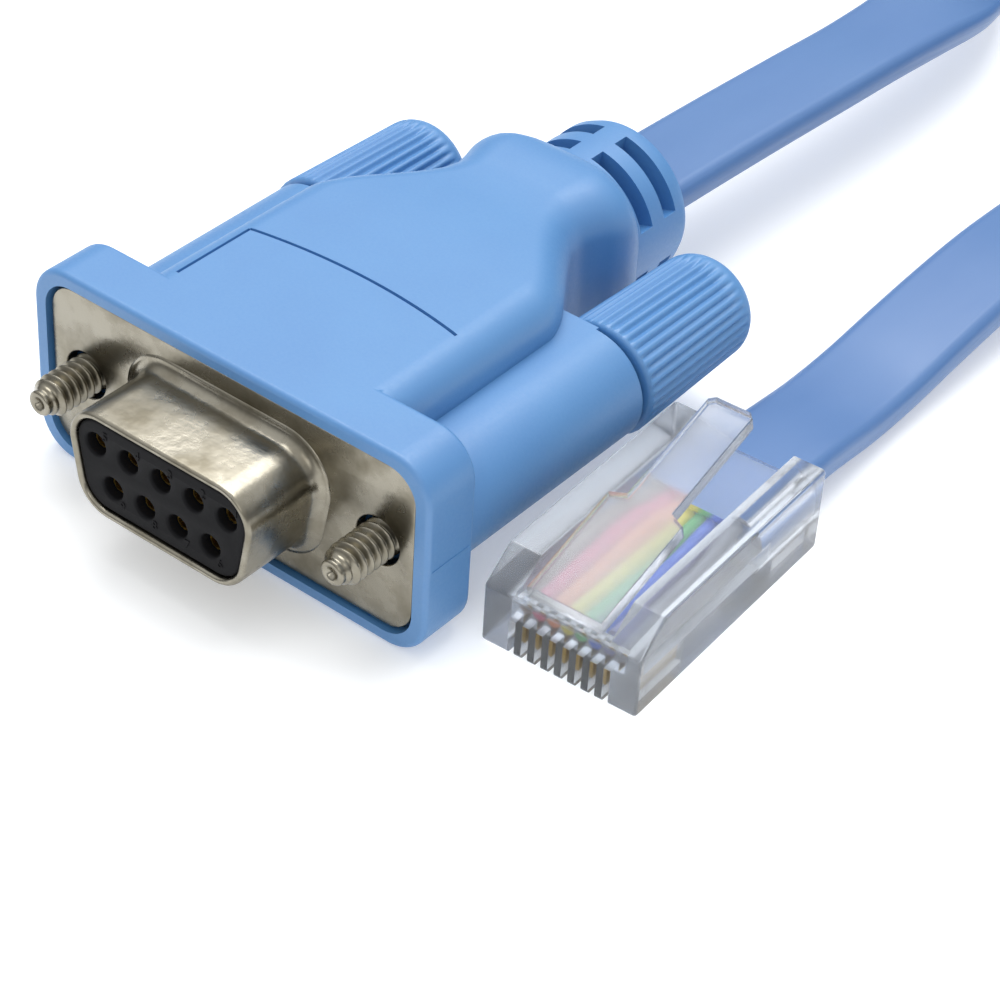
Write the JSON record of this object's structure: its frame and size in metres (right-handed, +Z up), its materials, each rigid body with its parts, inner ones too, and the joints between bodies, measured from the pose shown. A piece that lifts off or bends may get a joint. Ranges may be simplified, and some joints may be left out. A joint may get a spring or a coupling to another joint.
{
  "type": "serial console cable",
  "caption": "Flat console cable with a hooded D connector, two thumbscrews and a clear modular plug.",
  "frame": {"origin": "bottom centre of the connector hood with its metal shell, on the surface it stands on", "axes": "+Z up, +Y from the mating face towards the cable, +X to the right seen from the mating face"},
  "size_m": [0.0521, 0.2217, 0.015],
  "materials": {
    "hood_vinyl": "satin moulded vinyl",
    "nickel_plate": "nickel-plated, satin",
    "insert_black": "moulded, matt",
    "gold_contact": "gold flash",
    "jacket_vinyl": "extruded, satin",
    "clear_plug": "clear, polished",
    "strap": "woven",
    "wire_1": "extruded insulation",
    "wire_2": "extruded insulation",
    "wire_3": "extruded insulation",
    "wire_4": "extruded insulation",
    "wire_5": "extruded insulation",
    "wire_6": "extruded insulation",
    "wire_7": "extruded insulation",
    "wire_8": "extruded insulation"
  },
  "bodies": {
    "connector_and_cable": {"hood": "hood_vinyl", "front_shell": "nickel_plate", "insert": "insert_black", "socket_contact_1": "gold_contact", "socket_contact_2": "gold_contact", "socket_contact_3": "gold_contact", "socket_contact_4": "gold_contact", "socket_contact_5": "gold_contact", "socket_contact_6": "gold_contact", "socket_contact_7": "gold_contact", "socket_contact_8": "gold_contact", "socket_contact_9": "gold_contact", "plug_body": "clear_plug", "contact_blade_1": "gold_contact", "conductor_1": "wire_1", "contact_blade_2": "gold_contact", "conductor_2": "wire_2", "contact_blade_3": "gold_contact", "conductor_3": "wire_3", "contact_blade_4": "gold_contact", "conductor_4": "wire_4", "contact_blade_5": "gold_contact", "conductor_5": "wire_5", "contact_blade_6": "gold_contact", "conductor_6": "wire_6", "contact_blade_7": "gold_contact", "conductor_7": "wire_7", "contact_blade_8": "gold_contact", "conductor_8": "wire_8", "cable_from_hood": "jacket_vinyl", "cable_to_plug": "jacket_vinyl", "cable_hank": "jacket_vinyl", "hank_tie": "strap"},
    "thumbscrew_left": {"knob_left": "hood_vinyl", "screw_left": "nickel_plate"},
    "thumbscrew_right": {"knob_right": "hood_vinyl", "screw_right": "nickel_plate"},
    "latch": {"latch": "clear_plug"}
  },
  "joints": [
    {"name": "thumbscrew_left_turn", "type": "hinge", "parent": "connector_and_cable", "child": "thumbscrew_left", "pos_m": [-0.01249, -0.018, 0.0075], "axis": [0, 1, 0], "continuous": true},
    {"name": "thumbscrew_right_turn", "type": "hinge", "parent": "connector_and_cable", "child": "thumbscrew_right", "pos_m": [0.01249, -0.018, 0.0075], "axis": [0, 1, 0], "continuous": true},
    {"name": "latch_press", "type": "hinge", "parent": "connector_and_cable", "child": "latch", "pos_m": [0.02364, -0.0123, 0.005], "axis": [-0.9986, -0.0523, 0], "range_deg": [0, 12], "stiffness_Nm_per_rad": 0.05}
  ]
}
